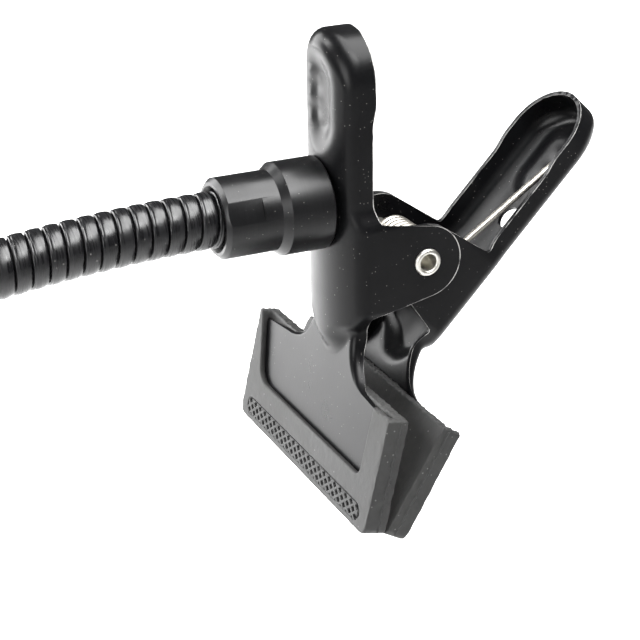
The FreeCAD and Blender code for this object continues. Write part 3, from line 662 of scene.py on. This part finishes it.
rubber = moulded_rubber()
for boot, place, body in (("outer_jaw_boot", OUTER_PLACE, "outer_half"),
                          ("inner_jaw_boot", INNER_PLACE, "inner_half")):
    piece = slab(boot + "_moulding", rounded([
        (-boot_end, 0, 0.6), (boot_end, 0, 0.6),
        (boot_end, -boot_height, 3.2), (-boot_end, -boot_height, 3.2)]),
        0.0, lambda up: boot_thick + (boot_tip_thick - boot_thick) * -up / boot_height)
    slot = slab("slot", [Vector(s) for s in ((-plate_half - 0.1, 2), (plate_half + 0.1, 2),
                                             (plate_half + 0.1, -slot_depth - 0.1),
                                             (-plate_half - 0.1, -slot_depth - 0.1))],
                boot_face - 0.03, boot_face + gauge + 0.05)
    window = slab("window", rounded([
        (-window_near, 2, 0), (-window_near, -window_depth, 3.0),
        (window_foot, -window_depth, 5.0), (window_top + 0.7, 2, 0)], 6), -2.0, boot_face + 0.4)
    half_up, middle_up = (knurl_top - knurl_foot) / 2 - 0.05, (knurl_top + knurl_foot) / 2
    channel_line = [Vector((end + side * half_up * math.sin(turn),
                            middle_up + side * half_up * math.cos(turn)))
                    for side, end in ((1, knurl_far - half_up), (-1, knurl_near + half_up))
                    for turn in [math.pi * step / 16 for step in range(17)]]
    channel = slab("channel", channel_line, -2.0, knurl_pit + 0.05)
    for tool in (slot, window, channel):
        cut_with(piece, tool)
    soften(piece, 0.35, 2, 35.0)
    even = piece.modifiers.new("even", "REMESH")
    even.mode, even.voxel_size = "VOXEL", 0.42
    bake_shape(piece, 180.0)
    for tool in (slot, window, channel):
        bpy.data.objects.remove(tool)
    skin = [(vert.co.copy(), vert.normal.copy()) for vert in piece.data.vertices]
    moved = []
    for spot, outward in skin:
        top = ease(-1.6, -0.2, spot.z)
        end = ease(boot_end - 1.2, boot_end - 0.3, abs(spot.y))
        lump = 0.05 * noise.noise(spot * 0.45) + 0.035 * noise.noise(spot * 1.1)
        lump += end * (0.24 * noise.noise(spot * Vector((0.5, 0.2, 0.35))) - 0.06)
        spot += outward * lump
        moved += [spot.x, spot.y, spot.z + top * (0.45 * noise.noise(spot * 0.8) - 0.25)]
    piece.data.vertices.foreach_set("co", moved)
    piece.data.update()
    whole = bmesh.new()
    whole.from_mesh(piece.data)
    for extra in (knurled_strip(), flash_line()):
        whole.from_mesh(extra)
        bpy.data.meshes.remove(extra)
    whole.to_mesh(piece.data)
    whole.free()
    piece.data.materials.append(rubber)
    settle(piece, place @ BOOT_PLACE)
    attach(piece, body)
    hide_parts(boot)

# ---------------------------------------------------------------- pivot rivet
# A tubular rivet of nickel-plated steel through all four ears. Its ends are rolled over the
# outer ears, and the bore stays open from side to side.
rivet_half, rivet_bore, rivet_shank, rivet_head = 16.95, 2.5, 3.2, 4.0


def turned_mesh(name, profile, segments=128):
    """A closed outline of along and out, turned about X; points on the axis are welded."""
    mesh = bmesh.new()
    rings = []
    for index in range(segments):
        angle = 2 * math.pi * index / segments
        rings.append([mesh.verts.new((along, out * math.cos(angle), out * math.sin(angle)))
                      for along, out in profile])
    count = len(profile)
    for index in range(segments):
        first, second = rings[index], rings[(index + 1) % segments]
        for spot in range(count):
            after = (spot + 1) % count
            if profile[spot][1] == 0 and profile[after][1] == 0:
                continue
            mesh.faces.new((first[spot], first[after], second[after], second[spot]))
    bmesh.ops.remove_doubles(mesh, verts=mesh.verts, dist=0.0005)
    bmesh.ops.dissolve_degenerate(mesh, edges=mesh.edges, dist=0.0002)
    bmesh.ops.recalc_face_normals(mesh, faces=mesh.faces)
    return as_piece(name, mesh)


def bright_plate():
    """Nickel plate, rubbed by the rolling tool into faint rings."""
    material, nodes, links = node_material("bright_plate")
    shader = nodes["Principled BSDF"]
    shader.inputs["Metallic"].default_value = 1.0
    tarnish = fine_noise(nodes, links, 350.0, 4.0)
    links.new(ramp(nodes, links, tarnish.outputs["Fac"],
                   [(0.3, (0.78, 0.76, 0.70)), (0.7, (0.92, 0.90, 0.84))]),
              shader.inputs["Base Color"])
    links.new(ramp(nodes, links, tarnish.outputs["Fac"], [(0.3, 0.32), (0.7, 0.45)]),
              shader.inputs["Roughness"])
    relief(nodes, links, tarnish.outputs["Fac"], 0.00002, 0.4)
    return material


rolled_end = [(-0.3, rivet_bore), (0.55, rivet_bore + 0.02), (0.85, rivet_bore + 0.16),
              (1.0, rivet_bore + 0.45), (0.98, rivet_bore + 0.8), (0.82, rivet_head - 0.35),
              (0.55, rivet_head - 0.1), (0.25, rivet_head), (0.02, rivet_head),
              (0.02, rivet_shank), (-0.3, rivet_shank)]
outline = [(rivet_half + along, out) for along, out in rolled_end]
outline += [(-rivet_half - along, out) for along, out in reversed(rolled_end)]
rivet = turned_mesh("pivot_rivet_rolled", outline, 96)
bake_shape(rivet, 50.0)
rivet.data.materials.append(bright_plate())
settle(rivet, OUTER_PLACE @ Matrix.Rotation(math.pi / 2, 4, "Z"))
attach(rivet, "outer_half")
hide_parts("pivot_rivet")

# ---------------------------------------------------------------- torsion spring
# One bright drawn wire of 2 mm, wound close round the rivet, with a leg on each handle. It
# winds up as the handles are squeezed, so it turns a little more in every coil.
wire_radius, coil_radius, coil_near, coil_far = 1.0, 6.0, -12.7, 6.02
leg_reach, leg_rise, leg_inset, coil_turns = -20.25, 53.5, 2.9, 9
leg_steps, turn_steps = 40, 48


def leg_points(place, from_y, to_y):
    """Where a leg leaves the coil and where it ends, from its own lever's frame."""
    far = math.hypot(leg_reach, leg_rise)
    aim = math.atan2(-leg_reach, leg_rise) - math.asin(coil_radius / far)
    start = Vector((-coil_radius * math.cos(aim), from_y, -coil_radius * math.sin(aim)))
    return place @ start, place @ Vector((leg_reach, to_y, leg_rise))


def swept_wire(name, line, radius, segments=20):
    """A round wire along a line of points, closed at both ends."""
    mesh = bmesh.new()
    rings = []
    side = None
    for index, spot in enumerate(line):
        before, after = line[max(0, index - 1)], line[min(len(line) - 1, index + 1)]
        along = (after - before).normalized()
        if side is None:
            side = along.orthogonal().normalized()
        side = (side - along * side.dot(along)).normalized()
        other = along.cross(side)
        ring = []
        for step in range(segments):
            angle = 2 * math.pi * step / segments
            out = side * math.cos(angle) + other * math.sin(angle)
            ring.append(mesh.verts.new(spot + out * radius))
        rings.append(ring)
    for first, second in zip(rings, rings[1:]):
        for step in range(segments):
            after = (step + 1) % segments
            mesh.faces.new((first[step], first[after], second[after], second[step]))
    mesh.faces.new(list(reversed(rings[0])))
    mesh.faces.new(rings[-1])
    bmesh.ops.recalc_face_normals(mesh, faces=mesh.faces)
    return as_piece(name, mesh)


def drawn_wire():
    """Bright spring wire, with the fine scratches of the drawing die."""
    material, nodes, links = node_material("drawn_wire")
    shader = nodes["Principled BSDF"]
    shader.inputs["Metallic"].default_value = 1.0
    streak = fine_noise(nodes, links, 500.0, 3.0)
    links.new(ramp(nodes, links, streak.outputs["Fac"],
                   [(0.3, (0.42, 0.40, 0.36)), (0.7, (0.56, 0.53, 0.48))]),
              shader.inputs["Base Color"])
    links.new(ramp(nodes, links, streak.outputs["Fac"], [(0.3, 0.34), (0.7, 0.46)]),
              shader.inputs["Roughness"])
    relief(nodes, links, streak.outputs["Fac"], 0.00001, 0.4)
    return material


inner_start, inner_end = leg_points(INNER_PLACE, -coil_near, -coil_near - leg_inset)
outer_start, outer_end = leg_points(OUTER_PLACE, coil_far, coil_far + leg_inset)
angle_in = math.atan2(inner_start.z - pivot.z, inner_start.x - pivot.x)
angle_out = math.atan2(outer_start.z - pivot.z, outer_start.x - pivot.x)
sweep = (angle_in - angle_out) % (2 * math.pi) + 2 * math.pi * coil_turns
line = [inner_end.lerp(inner_start, index / leg_steps) for index in range(leg_steps)]
coil_steps = turn_steps * coil_turns
for index in range(coil_steps + 1):
    share = index / coil_steps
    angle = angle_in - sweep * share
    y = inner_start.y + (outer_start.y - inner_start.y) * share
    line.append(Vector((pivot.x + coil_radius * math.cos(angle), y,
                        pivot.z + coil_radius * math.sin(angle))))
line += [outer_start.lerp(outer_end, index / leg_steps) for index in range(1, leg_steps + 1)]
spring = swept_wire("torsion_spring_wire", line, wire_radius)
soften(spring, 0.25, 2, 60.0)
bake_shape(spring, 60.0)
spring.data.materials.append(drawn_wire())
settle(spring, Matrix.Identity(4))
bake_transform(spring)
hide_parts("torsion_spring")

# ---------------------------------------------------------------- collars
# A collar is turned from steel bar in two diameters with a cone between, tapped at its seat
# and bored for the arm, and blackened. Two wrench flats are milled near its mouth. The same
# collar sits at both ends of the arm.
collar_radius, collar_seat, collar_cone, nose_radius, collar_length = 13.2, 13.05, 2.2, 11.4, 31.5
nose_rim, mouth_radius, mouth_depth, socket_radius, socket_depth = 1.2, 9.3, 1.6, 8.3, 14.0
thread_radius, thread_length, core_bore, flat_depth, flat_length = 3.4, 11.0, 4.7, 0.45, 11.0
flat_turn, flat_over, edge_bevel = math.radians(23.0), 2.0, 0.5


def blackened_bar():
    """Blackened turned steel: a satin finish with fine rings round the bar, and dust."""
    material, nodes, links = node_material("blackened_bar")
    shader = nodes["Principled BSDF"]
    shader.inputs["Specular IOR Level"].default_value = 0.42
    rings = fine_noise(nodes, links, 40.0, 2.0, (60.0, 1.0, 1.0))
    cloud = fine_noise(nodes, links, 70.0, 4.0)
    links.new(ramp(nodes, links, cloud.outputs["Fac"], [(0.3, 0.28), (0.7, 0.38)]),
              shader.inputs["Roughness"])
    tint = ramp(nodes, links, rings.outputs["Fac"],
                [(0.3, (0.0030, 0.0030, 0.0034)), (0.7, (0.0052, 0.0052, 0.0058))])
    dust = specks(nodes, links, 900.0, 0.72)
    links.new(mixed(nodes, links, dust, tint, (0.17, 0.165, 0.155)), shader.inputs["Base Color"])
    relief(nodes, links, rings.outputs["Fac"], 0.00001, 0.5)
    return material


def collar_turning(name):
    """A collar along its own X, with its seat at 0 and its mouth at the far end."""
    nose = collar_seat + collar_cone
    piece = turned_mesh(name, [
        (0, thread_radius), (0, collar_radius - edge_bevel), (edge_bevel, collar_radius),
        (collar_seat, collar_radius), (nose, nose_radius), (collar_length - nose_rim, nose_radius),
        (collar_length, nose_radius - nose_rim), (collar_length, mouth_radius),
        (collar_length - mouth_depth, socket_radius), (collar_length - socket_depth, socket_radius),
        (collar_length - socket_depth, core_bore), (thread_length, core_bore),
        (thread_length, thread_radius)], 144)
    tools = []
    for side in (1, -1):
        box = bmesh.new()
        bmesh.ops.create_cube(box, size=1.0)
        bmesh.ops.scale(box, vec=(flat_length + 2 * flat_over, 2 * nose_radius, nose_radius),
                        verts=box.verts)
        turn = Matrix.Rotation(math.pi / 2 * side + flat_turn, 4, "X")
        away = Matrix.Translation((collar_length - flat_length / 2 + flat_over, 0,
                                   nose_radius - flat_depth + nose_radius / 2))
        bmesh.ops.transform(box, matrix=turn @ away, verts=box.verts)
        tools.append(cut_with(piece, as_piece("flat", box)))
    soften(piece, 0.22, 3, 20.0)
    bake_shape(piece, 30.0)
    for tool in tools:
        bpy.data.objects.remove(tool)
    return piece


def own_frame(piece, place):
    """Keeps a turned piece's axis as its own X, so that its finish follows the turning."""
    piece.data.transform(Matrix.Scale(0.001, 4))
    move = place.copy()
    move.translation = place.translation / 1000
    piece.matrix_world = move


end_mount = record_mounts["arm_end_thread"]
end_axis = Vector(end_mount["axis"])
arm_mouth = Vector((pivot.x + crown_back - collar_length, 0, pivot.z + bolt_height))
end_seat = Vector(end_mount["pos_m"]) * 1000 + end_axis * (thread_length / 2)
blackened = blackened_bar()
clamp_collar = collar_turning("clamp_collar_turning")
own_frame(clamp_collar, Matrix.Translation((pivot.x + crown_back, 0, arm_mouth.z))
          @ Matrix.Rotation(math.pi, 4, "Z"))
end_collar = collar_turning("end_collar_turning")
end_turn = math.atan2(-end_axis.z, -end_axis.x)
own_frame(end_collar, Matrix.Translation(end_seat) @ Matrix.Rotation(-end_turn, 4, "Y"))
for piece, node, body in ((clamp_collar, "clamp_collar", "outer_half"),
                          (end_collar, "end_collar", "arm_8")):
    piece.data.materials.append(blackened)
    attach(piece, body)
    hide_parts(node)

# ---------------------------------------------------------------- screw and lock washer
# An M8 socket screw with black oxide on it holds the collar to the outer lever, over a
# zinc-plated lock washer. Both sit inside the lever's channel.
screw_radius, screw_length, head_radius, head_height, key_across = 3.3, 13.6, 6.3, 4.2, 5.0
washer_radius, washer_bore, washer_height = 7.2, 3.6, 1.6
washer_low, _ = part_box("lock_washer")


def black_oxide():
    """Oiled black oxide, slightly patchy."""
    material, nodes, links = node_material("black_oxide")
    shader = nodes["Principled BSDF"]
    patch = fine_noise(nodes, links, 300.0, 4.0)
    links.new(ramp(nodes, links, patch.outputs["Fac"],
                   [(0.3, (0.012, 0.012, 0.013)), (0.7, (0.030, 0.029, 0.028))]),
              shader.inputs["Base Color"])
    links.new(ramp(nodes, links, patch.outputs["Fac"], [(0.3, 0.32), (0.7, 0.48)]),
              shader.inputs["Roughness"])
    relief(nodes, links, patch.outputs["Fac"], 0.00002, 0.5)
    return material


def zinc_plate():
    """Zinc plate with a light crystalline bloom."""
    material, nodes, links = node_material("zinc_plate")
    shader = nodes["Principled BSDF"]
    shader.inputs["Metallic"].default_value = 1.0
    bloom = fine_noise(nodes, links, 420.0, 5.0)
    links.new(ramp(nodes, links, bloom.outputs["Fac"],
                   [(0.3, (0.50, 0.50, 0.49)), (0.7, (0.66, 0.66, 0.64))]),
              shader.inputs["Base Color"])
    links.new(ramp(nodes, links, bloom.outputs["Fac"], [(0.3, 0.35), (0.7, 0.5)]),
              shader.inputs["Roughness"])
    relief(nodes, links, bloom.outputs["Fac"], 0.00002, 0.5)
    return material


screw = turned_mesh("collar_screw_turning", [
    (-screw_length, 0), (-screw_length, screw_radius - 0.7), (-screw_length + 0.7, screw_radius),
    (0, screw_radius), (0, head_radius), (head_height - 0.7, head_radius),
    (head_height, head_radius - 0.7), (head_height, 0)], 96)
key = bmesh.new()
bmesh.ops.create_cone(key, cap_ends=True, segments=6, radius1=key_across / math.sqrt(3),
                      radius2=key_across / math.sqrt(3), depth=head_height * 1.2)
bmesh.ops.transform(key, matrix=Matrix.Translation((head_height, 0, 0))
                    @ Matrix.Rotation(math.pi / 2, 4, "Y"), verts=key.verts)
key_tool = cut_with(screw, as_piece("key", key))
soften(screw, 0.15, 2, 30.0)
bake_shape(screw, 35.0)
bpy.data.objects.remove(key_tool)
own_frame(screw, Matrix.Translation((washer_low.x * 1000 + washer_height, 0, arm_mouth.z)))
screw.data.materials.append(black_oxide())
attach(screw, "outer_half")
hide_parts("collar_screw")

washer = turned_mesh("lock_washer_pressing", [
    (0, washer_bore), (0, washer_radius), (washer_height, washer_radius),
    (washer_height, washer_bore)], 96)
soften(washer, 0.15, 2, 30.0)
bake_shape(washer, 35.0)
own_frame(washer, Matrix.Translation((washer_low.x * 1000, 0, arm_mouth.z)))
washer.data.materials.append(zinc_plate())
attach(washer, "outer_half")
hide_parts("lock_washer")

# ---------------------------------------------------------------- gooseneck
# Two steel wires wound into each other: a round one inside, and over it a shaped one whose
# crowned back makes the glossy black bands. They grip by friction and bend as one. Each
# stretch between two stations is built as its own piece, fixed in its resting place.
arm_radius, arm_wall, band_pitch, groove_depth, groove_half = 8.0, 1.4, 4.72, 0.95, 0.085
core_outer, core_wall = 6.5, 1.8
arm_bend_radius = 500.0
sections, section_run, arm_inserted, round_steps = 8, 20.0, 13.5, 112


def arm_frame(run):
    """The arm's line at a run from the clamp collar's mouth: the spot, and its outward way."""
    turn = run / arm_bend_radius
    spot = arm_mouth + Vector((-math.sin(turn), 0, math.cos(turn) - 1)) * arm_bend_radius
    return spot, Vector((-math.sin(turn), 0, math.cos(turn)))


def band_depth(run, angle):
    """How far the outer wire's back lies under its crown, at a run and an angle round the arm."""
    share = (run / band_pitch + angle / (2 * math.pi)) % 1.0
    from_groove = min(share, 1 - share)
    crown = 0.40 * abs(2 * share - 1) ** 2.4 + 0.10 * (1 - share)
    flute = 0.13 * math.exp(-((share - 0.80) / 0.035) ** 2)
    groove = groove_depth * (1 - ease(0.0, groove_half, from_groove))
    return crown + flute + groove


def core_depth(run, angle):
    """The round inner wire, as the valley between its turns."""
    share = (run / band_pitch + angle / (2 * math.pi) + 0.5) % 1.0
    return 0.9 - 0.9 * math.sqrt(max(0.0, 1 - (2 * share - 1) ** 2))


def wound_tube(name, first, last, outside, inside, depth, gap, around):
    """One stretch of wound wire as a closed tube with square ends, smooth inside."""
    mesh = bmesh.new()
    steps = max(8, round((last - first) / gap))
    rings = []
    for index in range(steps + 1):
        run = first + (last - first) * index / steps
        spot, outward = arm_frame(run)
        ring = []
        for turn in range(around):
            angle = 2 * math.pi * turn / around
            out = outward * math.cos(angle) + Vector((0, 1, 0)) * math.sin(angle)
            ring.append(mesh.verts.new(spot + out * (outside - depth(run, angle))))
        rings.append(ring)
    coarse = max(4, round((last - first) / 2.5))
    for index in range(coarse + 1):
        run = last - (last - first) * index / coarse
        spot, outward = arm_frame(run)
        ring = []
        for turn in range(around):
            angle = 2 * math.pi * turn / around
            out = outward * math.cos(angle) + Vector((0, 1, 0)) * math.sin(angle)
            ring.append(mesh.verts.new(spot + out * inside))
        rings.append(ring)
    count = len(rings)
    for index in range(count):
        ring, after_ring = rings[index], rings[(index + 1) % count]
        for turn in range(around):
            after = (turn + 1) % around
            mesh.faces.new((ring[turn], ring[after], after_ring[after], after_ring[turn]))
    bmesh.ops.recalc_face_normals(mesh, faces=mesh.faces)
    piece = as_piece(name, mesh)
    piece.data.polygons.foreach_set("use_smooth", [True] * len(piece.data.polygons))
    piece.data.set_sharp_from_angle(angle=math.radians(55))
    return settle(piece, Matrix.Identity(4))


def black_lacquer():
    """Black lacquer over a rolled wire, whose fine drawing lines run round with the winding."""
    material, nodes, links = node_material("black_lacquer")
    shader = nodes["Principled BSDF"]
    shader.inputs["Specular IOR Level"].default_value = 0.62
    lines = fine_noise(nodes, links, 45.0, 4.0, (34.0, 1.0, 1.0))
    links.new(ramp(nodes, links, lines.outputs["Fac"], [(0.32, 0.20), (0.68, 0.40)]),
              shader.inputs["Roughness"])
    tint = ramp(nodes, links, lines.outputs["Fac"],
                [(0.3, (0.0028, 0.0028, 0.0034)), (0.7, (0.0065, 0.0065, 0.0074))])
    dust = specks(nodes, links, 520.0, 0.74)
    links.new(mixed(nodes, links, dust, tint, (0.14, 0.135, 0.13)), shader.inputs["Base Color"])
    relief(nodes, links, lines.outputs["Fac"], 0.00009, 1.0)
    return material


def plain_wire():
    """Plain steel wire, dulled by oil."""
    material, nodes, links = node_material("plain_wire")
    shader = nodes["Principled BSDF"]
    shader.inputs["Metallic"].default_value = 1.0
    patch = fine_noise(nodes, links, 300.0, 4.0)
    links.new(ramp(nodes, links, patch.outputs["Fac"],
                   [(0.3, (0.30, 0.30, 0.30)), (0.7, (0.48, 0.48, 0.47))]),
              shader.inputs["Base Color"])
    links.new(ramp(nodes, links, patch.outputs["Fac"], [(0.3, 0.30), (0.7, 0.45)]),
              shader.inputs["Roughness"])
    relief(nodes, links, patch.outputs["Fac"], 0.00002, 0.5)
    return material


lacquer, steel_wire = black_lacquer(), plain_wire()
stations = [section_run * index for index in range(sections + 1)]
stations[0], stations[-1] = -arm_inserted, stations[-1] + arm_inserted
for index in range(sections):
    nodes_here = [index, index + 1] if index == 0 else [index + 1]
    wrap = wound_tube("gooseneck_band_%d" % (index + 1), stations[index], stations[index + 1],
                      arm_radius, arm_radius - arm_wall, band_depth, 0.16, round_steps)
    core = wound_tube("gooseneck_inner_wire_%d" % (index + 1), stations[index],
                      stations[index + 1], core_outer, core_outer - core_wall, core_depth,
                      0.6, 40)
    for piece, kind, finish, slot_name in ((wrap, "wrap", lacquer, "arm_wrap"),
                                           (core, "core", steel_wire, "arm_core")):
        piece.data.materials.append(finish)
        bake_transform(piece)
        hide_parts(*["gooseneck_%s_%d" % (kind, number) for number in nodes_here])

# ---------------------------------------------------------------- final update
bpy.context.view_layer.update()
